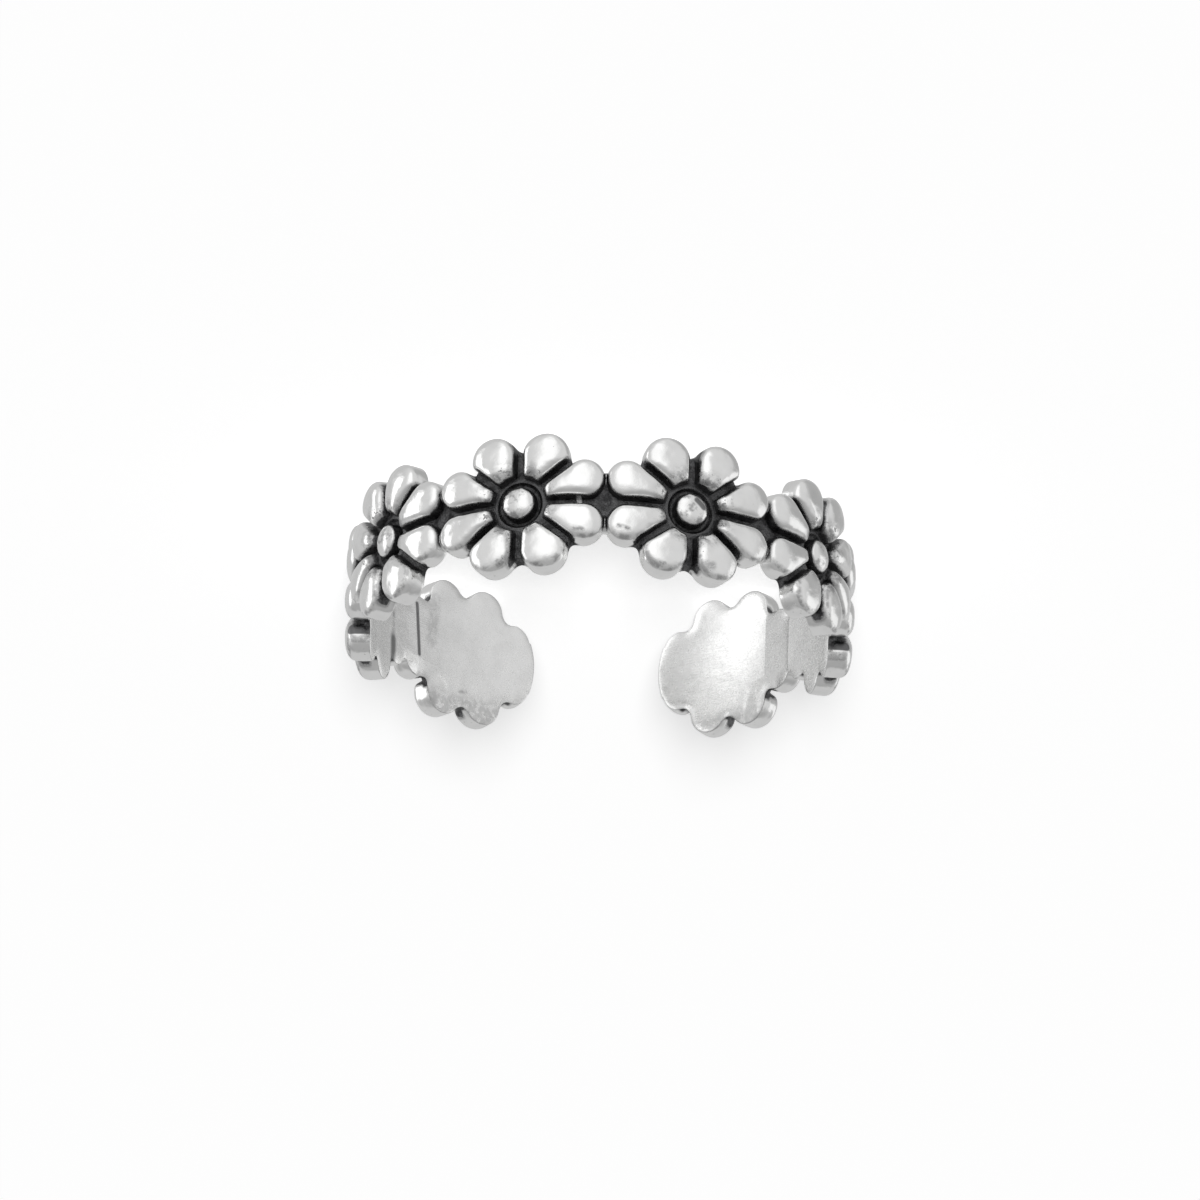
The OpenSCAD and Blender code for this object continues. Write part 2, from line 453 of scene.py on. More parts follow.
def outer_share(flower, outline):
    """1 on the outer side of a petal, which is bare silver, and 0 along the grooves."""
    def fade(start, span, way):
        return smooth_step(start + span[0], start + span[1], way)

    u, v = outline.T
    along, across = unit(flower.s.slant)
    reach, off = outline @ along, np.abs(outline @ across)
    slant = fade(SLANT_NOTCH_WEB, FADE_SLANT, reach + FADE_ASIDE * (off - FADE_ASIDE_FROM))
    top = fade(TOP_NOTCH_WEB, FADE_TOP, v)
    neck = fade(flower.s.neck_half, FADE_NECK, v)
    if flower.at_end:
        past_end = smooth_step(*FADE_END, u)
        neck, slant = np.maximum(neck, past_end), np.maximum(slant, past_end)
    upright = v.max() > UPRIGHT_OVER
    return slant * np.where(upright, np.where(u < BY_UPRIGHT_GROOVE, top, 1), neck)


def nearest(points, place):
    """The number of the point nearest to a place."""
    return int(np.linalg.norm(points - np.asarray(place), axis=1).argmin())


def quarter_paths(flower, feet, skin, side, up):
    """The outer path and the groove path of a quarter, from the top notch to the row's axis.

    Both are lists of vertices. They share the notch points and all that follows the last
    petal, which comes as a third list."""
    s = flower.s
    mirror = np.array([side, up])
    along, across = unit(s.slant)
    upright, level = feet
    high, low = flower.upright, flower.side
    count = ON_OUTLINE
    by_groove = np.where(high[:, :1] > UPRIGHT_MIDDLE, NOWHERE, high)
    top_at = nearest(by_groove, (s.upright_groove / 2, TOP_NOTCH_WEB))
    groove = SLANT_NOTCH_WEB * along
    high_at = nearest(high, groove + across * s.slant_groove / 2)
    low_at = nearest(low, groove - across * s.slant_groove / 2)
    slant_mid = skin.add((groove * mirror)[None], s.plate, 1)
    outer = [upright[k] for k in range(top_at, high_at - 1, -1)] + slant_mid
    inner = [upright[k % count] for k in range(top_at, high_at + count + 1)] + slant_mid
    if flower.at_end:
        lobe_u = END_CENTRE + math.sqrt(END_R ** 2 - END_LEAVES ** 2)
        last_at = nearest(low, (lobe_u, END_LEAVES))
        close = arc((END_CENTRE, 0), END_R, math.asin(END_LEAVES / END_R) - END_GAP, 0, END_STEP)
        oxide = 0
    else:
        tip = s.neck_half - flower.side_lobe[1]
        neck_u = flower.side_lobe[0] + math.sqrt(s.side_r ** 2 - tip ** 2)
        last_at = nearest(low, (neck_u, s.neck_half))
        close = np.array([[u, s.neck_half] for u in ((neck_u + flower.half_pitch) / 2, flower.half_pitch)])
        oxide = NECK_OXIDE
    outer += [level[k] for k in range(low_at, last_at - 1, -1)]
    inner += [level[k % count] for k in range(low_at, last_at + count + 1)]
    return outer, inner, skin.add(close * mirror, s.plate, oxide)


def unit_loop(paths, top_mid, web_cut, path):
    """Round the unit to the right over the top, by its outer path (0) or its groove path (1)."""
    numbers = []
    for side, up in ((1, 1), (1, -1), (-1, -1), (-1, 1)):
        walked = paths[side, up][path] + paths[side, up][2]
        if side * up > 0:
            numbers.append(top_mid[up])
        else:
            walked = walked[::-1]
            if side in web_cut:
                numbers += web_cut[side][::side]
            else:
                walked = walked[1:]
        numbers += walked
    return numbers


def disc_points(sizes):
    """Points in rings over the disc, the moat and the collar."""
    rings = [sizes.disc_r * x for x in DISC_RINGS]
    rings += [sizes.disc_r + PAST_DISC_RING, (sizes.disc_r + sizes.collar_in) / 2]
    rings += [sizes.collar_in + x for x in COLLAR_IN_RINGS]
    rings += [sizes.collar_out + x for x in COLLAR_OUT_RINGS]
    points = [np.zeros((1, 2))]
    for k, r in enumerate(rings):
        turn = np.arange(ON_DISC) / ON_DISC * 2 * math.pi + k % 2 * math.pi / ON_DISC
        points.append(r * np.stack([np.cos(turn), np.sin(turn)], 1))
    return np.vstack(points)


def fill_web(skin, flower, loop):
    """The surface between the petals: plate, collar, moat, disc and dimples."""
    s = flower.s
    centre = disc_points(s)
    disc_oxide = smooth_step(DISC_BARE * s.disc_r, s.disc_r, np.linalg.norm(centre, axis=1))
    grid = hex_grid(skin.flat(loop), *WEB_GRID)
    grid = grid[np.linalg.norm(grid, axis=1) > s.collar_out + WEB_GRID[1]]
    inside = skin.add(centre, 0, disc_oxide) + skin.add(grid, 0, flower.web_oxide(grid))
    skin.fill(loop, inside, face_up=True)
    skin.lift(loop + inside, flower.web_height(skin.flat(loop + inside)))


def finer(line):
    """A broken line's points, with three more between each two that are neighbours."""
    following = np.roll(line, -1, 0)
    joined = np.linalg.norm(following - line, axis=1) < NEIGHBOURS
    return np.vstack([line] + [(line + (following - line) * k / 4)[joined] for k in (1, 2, 3)])


def inward_from(loop, corner):
    """The way in from each point of a loop, which is straight down or up at the corners."""
    tangent = np.roll(loop, -1, 0) - np.roll(loop, 1, 0)
    tangent /= np.linalg.norm(tangent, axis=1)[:, None]
    inward = np.stack([tangent[:, 1], -tangent[:, 0]], 1)
    inward[corner] = np.stack([np.zeros(corner.sum()), -np.sign(loop[corner, 1])], 1)
    return inward


def close_back(skin, flower, outer_loop, cut_numbers):
    """The wall from the web down to the back, its rounded edge, and the back itself."""
    s = flower.s
    web = skin.flat(outer_loop)
    inner = flower.inner_outline(web)
    at_cut = np.array([n in cut_numbers for n in outer_loop])
    inward = inward_from(inner, ~at_cut & (np.roll(at_cut, 1) | np.roll(at_cut, -1)))
    edge = finer(inner[~at_cut])
    e = s.edge_round

    def worn(points):
        return worn_back(points, edge, flower.half_pitch)

    black = flower.in_notch(inner)
    levels = [outer_loop, skin.add((web + inner) / 2, (s.plate + e + worn(inner)) / 2, black * WALL_BLACK)]
    levels.append(skin.add(inner, e + worn(inner), black * WALL_BLACK))
    for turn in EDGE_TURNS:
        a = math.radians(turn)
        moved = inner + inward * (e * (1 - math.cos(a)))
        h = e * (1 - math.sin(a))
        on_face = h < e / 2
        levels.append(skin.add(
            moved, h + worn(moved), black * (FACE_BLACK if on_face else WALL_BLACK), int(on_face)))
    for upper, lower in zip(levels, levels[1:]):
        for (a, b), (d, c), cut in zip(pairs(upper), pairs(lower), pairs(at_cut)):
            if not any(cut):
                skin.face([a, b, c, d])

    face_loop = levels[-1]
    for n, m in zip(outer_loop, face_loop):
        if n in cut_numbers:
            u, v, _ = skin.points[n]
            flat = np.array([[u, v * (1 - e / s.neck_half)]])
            skin.points[m] = (*flat[0], worn(flat)[0])
    grid = hex_grid(skin.flat(face_loop), *BACK_GRID)
    skin.fill(face_loop, skin.add(grid, worn(grid), 0, 1), face_up=False)


def build_unit(sizes, left_end, right_end):
    """One daisy with its share of the plate, as a skin that is open where it joins the next."""
    middle_flower = Flower(sizes, False)
    flowers = {side: Flower(sizes, True) if end else middle_flower
               for side, end in ((1, right_end), (-1, left_end))}
    skin = Skin()
    top_mid = {up: skin.add(np.array([[0, up * TOP_NOTCH_WEB]]), sizes.plate, 1)[0] for up in (1, -1)}
    paths = {}
    for side, flower in flowers.items():
        for up in (1, -1):
            feet = [
                petal_rings(skin, flower, flower.upright, flower.upright_lobe, sizes.crest, side, up),
                petal_rings(skin, flower, flower.side, flower.side_lobe, flower.side_crest, side, up)]
            paths[side, up] = quarter_paths(flower, feet, skin, side, up)

    cuts = np.linspace(sizes.neck_half, -sizes.neck_half, NECK_STEPS)[1:-1]
    web_cut = {}
    for side, flower in flowers.items():
        if not flower.at_end:
            line = np.stack([np.full(len(cuts), side * flower.half_pitch), cuts], 1)
            web_cut[side] = skin.add(line, 0, flower.web_oxide(line))
    groove_loop, outer_loop = (unit_loop(paths, top_mid, web_cut, path) for path in (1, 0))
    fill_web(skin, middle_flower, groove_loop)
    close_back(skin, middle_flower, outer_loop, {n for cut in web_cut.values() for n in cut})
    return skin


def worn_back(points, edge, half):
    """Height of the back over the bore: a little flat behind each daisy, and worn down to its edges."""
    worn = BACK_WORN * np.clip(1 - distance(points, edge) / BACK_WORN_W, 0, 1) ** 2
    return worn + BACK_FLATTER * (points[:, 0] / half) ** 2


def skin_object(skin, name):
    """The skin as an object, without the vertices that no face uses."""
    points = np.array(skin.points)
    used = sorted({n for face in skin.faces for n in face})
    number = {n: k for k, n in enumerate(used)}
    mesh = bpy.data.meshes.new(name)
    mesh.from_pydata(points[used].tolist(), [], [[number[n] for n in face] for face in skin.faces])
    for label, values in (("oxide", skin.oxide), ("back", skin.back)):
        values = np.array(values, np.float32)[used]
        mesh.attributes.new(label, "FLOAT", "POINT").data.foreach_set("value", values)
    mesh.update()
    return place_object(name, mesh)


class Tree:
    """A node tree under construction: short calls that add a node and link it."""

    def __init__(self, tree):
        self.tree = tree

    def add(self, kind, inputs=None, **settings):
        """A new node; inputs maps a socket's name or number to a value or another socket."""
        node = self.tree.nodes.new(kind)
        for key, value in settings.items():
            setattr(node, key, value)
        for key, value in (inputs or {}).items():
            self.feed(node, key, value)
        return node

    def feed(self, node, key, value):
        """Set or link one input of a node."""
        if isinstance(value, bpy.types.NodeSocket):
            self.tree.links.new(value, node.inputs[key])
        else:
            node.inputs[key].default_value = value

    def out(self, kind, inputs=None, **settings):
        """The first output of a new node."""
        return self.add(kind, inputs, **settings).outputs[0]

    def math(self, operation, *values, clamp=False):
        """The result of a sum on numbers and sockets."""
        return self.out(
            "ShaderNodeMath", dict(enumerate(values)), operation=operation, use_clamp=clamp)

    def fold(self, operation, first, *others):
        """The result of a sum on two values or more, one after another."""
        for other in others:
            first = self.math(operation, first, other)
        return first

    def times(self, *values):
        """The product of values."""
        return self.fold("MULTIPLY", *values)

    def plus(self, *values):
        """The sum of values."""
        return self.fold("ADD", *values)

    def largest(self, *values):
        """The largest of values."""
        return self.fold("MAXIMUM", *values)

    def less(self, value, taken):
        """A value less another."""
        return self.math("SUBTRACT", value, taken)

    def step(self, value, low, high, to=(0, 1)):
        """A smooth ramp of a value from low to high."""
        return self.out("ShaderNodeMapRange", {
            "Value": value, "From Min": low, "From Max": high, "To Min": to[0], "To Max": to[1]},
            interpolation_type="SMOOTHSTEP")

    def vector(self, operation, *values):
        """The result of a sum on vectors, as a vector or as a number."""
        node = self.add("ShaderNodeVectorMath", dict(enumerate(values)), operation=operation)
        return node.outputs["Value" if operation in ("DOT_PRODUCT", "LENGTH") else "Vector"]

    def scaled(self, vector, factor):
        """A vector times a number."""
        return self.out("ShaderNodeVectorMath", {0: vector, "Scale": factor}, operation="SCALE")

    def point(self, **parts):
        """A vector made of its X, Y and Z."""
        return self.out("ShaderNodeCombineXYZ", parts)

    def parts(self, vector):
        """A vector's X, Y and Z."""
        return tuple(self.add("ShaderNodeSeparateXYZ", {0: vector}).outputs)

    def attribute(self, name, output):
        """A value that the mesh keeps for each point."""
        return self.add("ShaderNodeAttribute", attribute_name=name).outputs[output]

    def noise(self, vector, scale, detail, roughness=0.6):
        """Cloudy noise from 0 to 1."""
        return self.out("ShaderNodeTexNoise", {
            "Vector": vector, "Scale": scale, "Detail": detail, "Roughness": roughness})

    def blend(self, share_of_second, first, second):
        """A mix of two colours."""
        return self.add("ShaderNodeMix", {"Factor": share_of_second, 6: first, 7: second},
                        data_type="RGBA").outputs[2]

    def bump(self, height, depth, normal=None):
        """The normal of a surface with this relief, over another one's normal."""
        node = self.add("ShaderNodeBump", {"Height": height, "Distance": depth, "Strength": 1.0})
        if normal is not None:
            self.feed(node, "Normal", normal)
        return node.outputs[0]


def new_tree(name, kind, inputs, outputs):
    """A new node tree, from the types of its named sockets, with the node that gives its inputs."""
    group = bpy.data.node_groups.new(name, kind)
    for direction, sockets in (("INPUT", inputs), ("OUTPUT", outputs)):
        for label, socket_type in sockets.items():
            group.interface.new_socket(label, in_out=direction, socket_type="NodeSocket" + socket_type)
    t = Tree(group)
    return t, t.add("NodeGroupInput").outputs


def socket_key(group, name):
    """The identifier of a tree's input, by the input's name."""
    return next(i.identifier for i in group.interface.items_tree if i.name == name and i.in_out == "INPUT")


def row_tree():
    """Geometry nodes that set the daisies in a row, weld them and bend the row round the bore."""
    units = ("First daisy", "Middle daisy", "Last daisy")
    lengths = ("Pitch", "Row radius", "Bore radius", "Mid height", "Middle angle", "Weld", "Wobble",
               "Wobble scale", "Half width", "Seed")
    t, given = new_tree("daisy_row", "GeometryNodeTree", {
        "Geometry": "Geometry", **dict.fromkeys(units, "Object"), "Daisies": "Int",
        **dict.fromkeys(lengths, "Float"), "Material": "Material"}, {"Geometry": "Geometry"})

    last = t.less(given["Daisies"], 1)
    line = t.out("GeometryNodeMeshLine", {
        "Count": given["Daisies"], "Start Location": t.point(X=t.times(last, -0.5, given["Pitch"])),
        "Offset": t.point(X=given["Pitch"])})
    index = t.out("GeometryNodeInputIndex")
    is_first, is_last = (
        t.out("FunctionNodeCompare", {2: index, 3: place}, data_type="INT", operation="EQUAL")
        for place in (0, last))
    at_end = t.out("FunctionNodeBooleanMath", {0: is_first, 1: is_last}, operation="OR")
    between = t.out("FunctionNodeBooleanMath", {0: at_end}, operation="NOT")
    joined = t.add("GeometryNodeJoinGeometry")
    for name, chosen in zip(units, (is_first, between, is_last)):
        daisy = t.add("GeometryNodeObjectInfo", {"Object": given[name]}).outputs["Geometry"]
        placed = t.out("GeometryNodeInstanceOnPoints", {
            "Points": line, "Selection": chosen, "Instance": daisy})
        t.feed(joined, 0, placed)
    real = t.out("GeometryNodeRealizeInstances", {0: joined.outputs[0]})
    welded = t.out("GeometryNodeMergeByDistance", {"Geometry": real, "Distance": given["Weld"]})

    place = t.out("GeometryNodeInputPosition")
    u, v, h = t.parts(place)
    noise = t.add("ShaderNodeTexNoise", {
        "Vector": place, "W": given["Seed"], "Scale": given["Wobble scale"], "Detail": 1.0},
        noise_dimensions="4D").outputs["Color"]
    over_plate = t.step(h, *WOBBLE_RISE)
    to_edge = t.math("DIVIDE", t.math("ABSOLUTE", v), given["Half width"])
    amount = t.times(given["Wobble"], over_plate, t.step(to_edge, WOBBLE_WIDTH, 1.0, (1, 0)))
    strayed = t.scaled(t.vector("SUBTRACT", noise, (0.5, 0.5, 0.5)), amount)
    lively = t.out("GeometryNodeSetPosition", {"Geometry": welded, "Offset": strayed})
    noted = t.out("GeometryNodeStoreNamedAttribute", {
        "Geometry": lively, "Name": "row_place", "Value": place},
        data_type="FLOAT_VECTOR", domain="POINT")

    turn = t.plus(t.math("DIVIDE", u, given["Row radius"]), given["Middle angle"])
    out = t.plus(h, given["Bore radius"])
    bent = t.point(X=t.times(out, t.math("COSINE", turn)), Y=t.times(out, t.math("SINE", turn)),
                   Z=t.plus(v, given["Mid height"]))
    ring = t.out("GeometryNodeSetPosition", {"Geometry": noted, "Position": bent})
    coated = t.out("GeometryNodeSetMaterial", {"Geometry": ring, "Material": given["Material"]})
    t.add("NodeGroupOutput", {0: coated})
    return t.tree


class ToeRingFinish(bpy.types.PropertyGroup):
    """Colours and finish of the silver."""
    silver: shade("Silver", (0.9, 0.9, 0.895), "Polished silver")
    tarnish: shade("Tarnish", (0.3, 0.3, 0.3), "Silver under a thin film of tarnish")
    black: shade("Blackening", (0.018, 0.018, 0.019), "Blackened silver deep in the grooves")
    # Rubbed blackening is also the colour of the marks, the painted shade on the lower shoulders and on the
    # back by the last neck among them
    rubbed: shade("Rubbed blackening", (0.15, 0.15, 0.153), "Blackened silver where it is rubbed")
    polish: share("Polish", 0.13, "Roughness of the polished petals")
    brushed: share("Brushed back", 0.24, "Roughness of the brushed inner face")
    matt: share("Matt black", 0.42, "Roughness of the blackened grooves")


def stroke_tree():
    """A mark along a straight stroke on the flat row: 1 on it, 0 away from it, with a soft rim."""
    t, given = new_tree("stroke", "ShaderNodeTree", {
        **dict.fromkeys(("Place", "From", "To"), "Vector"),
        **dict.fromkeys(("Half width", "Soft rim"), "Float")}, {"Mark": "Float"})
    run = t.vector("SUBTRACT", given["To"], given["From"])
    rest = t.vector("SUBTRACT", given["Place"], given["From"])
    done, whole = (t.vector("DOT_PRODUCT", way, run) for way in (rest, run))
    on_line = t.scaled(run, t.math("DIVIDE", done, whole, clamp=True))
    away = t.vector("LENGTH", t.vector("SUBTRACT", rest, on_line))
    rim = t.plus(given["Half width"], given["Soft rim"])
    t.add("NodeGroupOutput", {"Mark": t.step(away, given["Half width"], rim, (1, 0))})
    return t.tree


def speckle_tree():
    """Small ragged specks: 1 in a speck, 0 between, and more of them where the amount is higher."""
    t, given = new_tree("speckle", "ShaderNodeTree", {
        "Place": "Vector", "Scale": "Float", "Amount": "Float"}, {"Specks": "Float"})
    cloud = t.noise(given["Place"], given["Scale"], 3.0, 0.65)
    floor = t.less(0.78, t.times(given["Amount"], 0.33))
    t.add("NodeGroupOutput", {"Specks": t.step(cloud, floor, t.plus(floor, 0.07))})
    return t.tree


# Marks seen on the ring, and painted shade, on the flat row in millimetres: the stroke's two
# ends, its half width and its rim, how dark it is, or how bare where it is below 0, and
# whether it lies on the back of the band. The dark lines on the back about the crease by the
# last neck are painted shade
STROKES = (
    ("patch on a disc", (-2.98, -0.28), (-3.2, -0.08), 0.07, 0.07, 0.9, False),
    ("rim of a disc", (3.25, 0.25), (2.9, 0.46), 0.04, 0.12, 0.7, False),
    ("crumpled notch", (3.2, 1.95), (2.75, 2.1), 0.05, 0.09, 0.85, False),
    ("stain at a notch", (-2.8, 2.0), (-3.05, 2.08), 0.05, 0.08, 0.8, False),
    ("bead in a groove", (0.9, -0.3), (0.85, 0.06), 0.06, 0.05, -1.0, False),
    ("smudge on a shoulder", (0.98, 1.08), (0.7, 1.12), 0.0, 0.13, 0.7, False),
    ("smudge on the next", (-0.42, 0.96), (-0.74, 1.05), 0.0, 0.12, 0.75, False),
    ("spot on a lower tip", (3.42, 2.06), (3.36, 2.14), 0.0, 0.11, 0.8, False),
    ("spots on the next tip", (-1.64, 2.12), (-1.92, 2.13), 0.0, 0.1, 0.75, False),
    ("grey shoulder", (-3.05, 1.93), (-3.5, 1.95), 0.04, 0.18, 0.5, False),
    ("black flank, one side", (12.74, 1.32), (12.8, 1.64), 0.1, 0.06, 0.97, False),
    ("black flank, other side", (-12.72, 1.36), (-12.78, 1.62), 0.1, 0.05, 0.97, False),
    ("grey flank, one side", (12.8, 1.86), (12.84, 1.98), 0.03, 0.07, 0.4, False),
    ("grey flank, other side", (-12.8, 1.86), (-12.86, 2.02), 0.03, 0.07, 0.4, False),
    # Painted shade: dark lines on the back along the crease by the last neck and beside it
    ("crease at a neck", (17.77, -1.1), (17.98, 0.64), 0.045, 0.07, 0.9, True),
    ("painted shade by the crease", (16.05, -0.5), (16.15, 1.0), 0.0, 0.2, 0.6, True),
    ("foot of the painted shade", (16.12, 0.75), (16.2, 1.5), 0.08, 0.32, 0.9, True),
    ("shade beside the crease", (18.7, -1.5), (18.55, 0.0), 0.12, 0.25, 0.24, True),
    ("smudge near the end", (20.0, 1.46), (20.25, 1.44), 0.0, 0.14, 0.45, True),
    ("dull lower tips", (18.6, 2.2), (21.6, 2.1), 0.25, 0.6, 0.32, True),
    ("dull last tips", (-18.6, 2.3), (-21.6, 2.2), 0.1, 0.6, 0.25, True),
)
# Darkness from which a mark is solid, and not broken up into specks
SOLID_MARK = 0.9

# Relief of the back of the last daisy, in millimetres along the row: where the back begins
# to lean, its slope, and how fast that grows with height
LEAN_FROM, LEAN, LEAN_TWIST = -18.5, 0.18, 0.03
# The narrow facet before it, from the neck on, and its slope
FACET_FROM, FACET = -17.3, 0.27
# The worn lower corners beside the last necks: where they begin along the row and up, how
# fast their edge rises, their length, and their slopes at the row's first and last daisy
CORNER_U, CORNER_V, CORNER_RISE, CORNER_L = 17.9, 0.74, 0.2, 1.6
CORNER_SLOPES = -0.22, -0.36

# Depths of the relief in the material, in millimetres: the dents and the skin of the casting,
# the brush lines of the back and the pits of the black
DENTS, SKIN, BRUSHING, PITS = 0.05, 0.008, 0.006, 0.03
# How much of the cast unevenness is left out of the back, which is finished flat
BACK_SMOOTHED = 0.8

# Ramps of worn marks and of the painted shade along the lower shoulders, from where each
# begins to where it is full, in millimetres. These go by the distance from a disc's middle
PAST_DISC, ON_DISC_FACE, ON_WEB = (0.7, 0.9), (0.62, 0.56), (0.55, 0.8)
ROOT_SPECKS, ROOT_SMUDGE = (1.0, 1.75), (0.95, 1.6)
COLLAR_INNER, COLLAR_OUTER = (0.76, 0.82), (0.98, 0.92)
# This by the distance from the middle of the row, and these by the place up the band
BY_MIDDLE_NECK = 1.1, 0.6
# UP_SHOULDER, with OVER_SHOULDER and UNDER_SHOULDER below, bounds the band of painted shade on the lower
# shoulders
UP_SHOULDER, UP_LOW_SHOULDER, UP_NECK = (0.9, 1.3), (1.2, 1.8), (-0.25, 0.15)
# And these by the height over the bore
OVER_SHOULDER, UNDER_SHOULDER, UNDER_CREST = (0.72, 0.78), (0.9, 0.84), (0.97, 0.85)


class SilverPlaces:
    """Where a point of the silver lies, as sockets; lengths are in millimetres on the flat row."""

    def __init__(self, t, pitch):
        self.oxide = t.attribute("oxide", "Fac")
        self.back = t.step(t.attribute("back", "Fac"), 0.4, 0.6)
        self.front = t.less(1.0, self.back)
        self.flat = t.scaled(t.attribute("row_place", "Vector"), 1 / MM)
        self.along, self.up, self.height = t.parts(self.flat)
        self.on_row = t.point(X=self.along, Y=self.up)
        in_pitch = t.math("FRACT", t.math("DIVIDE", self.along, pitch / MM))
        in_daisy = t.times(t.less(in_pitch, 0.5), pitch / MM)
        self.from_disc = t.vector("LENGTH", t.point(X=in_daisy, Y=self.up))
        self.cloud = t.noise(self.flat, 5.5, 4.0)
        self.grit = t.noise(self.flat, 17.0, 3.0)
        self.patches = t.noise(self.flat, 3.1, 4.0)


def wear_and_shade(t, at):
    """How much of each place specks cover, and how much the small worn marks and a band of painted shade
    along the lower shoulders cover.
    """
    past_disc = t.step(at.from_disc, *PAST_DISC)
    near_root = t.times(t.step(at.from_disc, *ROOT_SPECKS, (1, 0)), past_disc)
    low_shoulder = t.times(t.step(at.up, *UP_LOW_SHOULDER), t.step(at.height, *UNDER_CREST))
    amount = t.plus(t.times(near_root, 0.55), t.times(low_shoulder, 0.2), 0.12)
    specks = t.out("ShaderNodeGroup", {
        "Place": at.flat, "Scale": 7.0, "Amount": t.times(amount, at.front)}, node_tree=speckle_tree())

    petal_root = t.times(t.step(at.from_disc, *ROOT_SMUDGE, (1, 0)), past_disc)
    # A band of painted shade along the lower shoulders, between a petal's top and its wall, broken up by
    # the patches
    shoulder = t.times(
        t.step(at.up, *UP_SHOULDER), t.step(at.height, *OVER_SHOULDER), t.step(at.height, *UNDER_SHOULDER))
    on_petal = t.times(
        t.step(at.patches, 0.4, 0.6), t.largest(petal_root, t.times(shoulder, 0.7)), 0.8)
    on_disc = t.times(t.step(at.from_disc, *ON_DISC_FACE), t.step(at.patches, 0.5, 0.66), 0.6)
    on_rim = t.times(t.step(at.oxide, 0.02, 0.35), 0.5)
    # Worn smudges, and the painted shade of the lower shoulders
    smudges_and_shade = t.times(t.largest(on_petal, on_disc, on_rim), at.front)
    return specks, t.largest(t.times(specks, 0.6), smudges_and_shade)


def drawn_marks(t, at):
    """The strokes seen on the ring: how dark they make each place, and how bare."""
    stroke = stroke_tree()
    ragged = t.step(at.cloud, 0.4, 0.54, (0.35, 1))
    darks, bares = [], []
    for _, start, stop, half, rim, dark, on_back in STROKES:
        drawn = t.out("ShaderNodeGroup", {
            "Place": at.on_row, "From": (*start, 0), "To": (*stop, 0), "Half width": half,
            "Soft rim": rim}, node_tree=stroke)
        shown = t.times(drawn, abs(dark), at.back if on_back else at.front)
        if 0 < dark < SOLID_MARK:
            shown = t.times(shown, ragged)
        (darks if dark > 0 else bares).append(shown)
    return t.largest(*darks), t.largest(*bares)


def rubbed_share(t, at):
    """How far the blackening is rubbed off: most on the collars and on the neck in front."""
    all_over = t.times(t.step(at.grit, 0.35, 0.65, (0.5, 1.1)), t.step(at.patches, 0.35, 0.6, (0.35, 1.1)),
                       t.step(at.from_disc, *ON_WEB, (0.6, 1.0)))
    collar = t.times(t.step(at.from_disc, *COLLAR_INNER), t.step(at.from_disc, *COLLAR_OUTER))
    mid_neck = t.times(t.step(t.math("ABSOLUTE", at.along), *BY_MIDDLE_NECK), t.step(at.up, *UP_NECK))
    on_high = t.times(t.largest(collar, mid_neck), t.step(at.grit, 0.3, 0.6, (0.6, 1.0)))
    return t.largest(all_over, on_high)


def back_relief(t, at):
    """Height in millimetres of the last backs' leaning faces and worn corners."""
    past_neck = t.math("MINIMUM", t.less(at.along, LEAN_FROM), 0.0)
    leaning = t.times(past_neck, t.plus(t.times(at.up, LEAN_TWIST), LEAN))
    aside = t.less(t.math("ABSOLUTE", at.along), CORNER_U)
    corner_line = t.plus(t.times(t.largest(aside, 0.0), CORNER_RISE), CORNER_V)
    near_corner = t.times(t.step(aside, -0.6, 0.1), t.step(aside, CORNER_L, CORNER_L - 0.7))
    worn = t.times(t.largest(t.less(at.up, corner_line), 0.0), near_corner)
    past_facet = t.less(t.math("MINIMUM", at.along, FACET_FROM), FACET_FROM)
    in_facet = t.largest(past_facet, LEAN_FROM - FACET_FROM)
    corners = t.times(worn, t.step(at.along, -0.1, 0.1, CORNER_SLOPES))
    return t.plus(leaning, corners, t.times(in_facet, FACET))


def silver_normal(t, at, specks):
    """The normal of the silver: cast dents and skin, the leaning backs, brush lines and pits."""
    cast = t.less(1.0, t.times(at.back, BACK_SMOOTHED))
    dents = t.times(t.noise(at.flat, 1.7, 1.0), DENTS, cast)
    normal = t.bump(t.plus(dents, t.times(back_relief(t, at), at.back)), MM)
    normal = t.bump(t.times(at.cloud, cast), SKIN * MM, normal)
    drawn_out = t.out("ShaderNodeMapping", {"Vector": at.flat, "Scale": (1.1, 17.0, 1.0)})
    normal = t.bump(t.times(t.noise(drawn_out, 2.0, 3.0), at.back), BRUSHING * MM, normal)
    pits = t.times(t.largest(at.oxide, specks), t.less(at.grit, 1.0))
    return t.bump(pits, PITS * MM, normal)


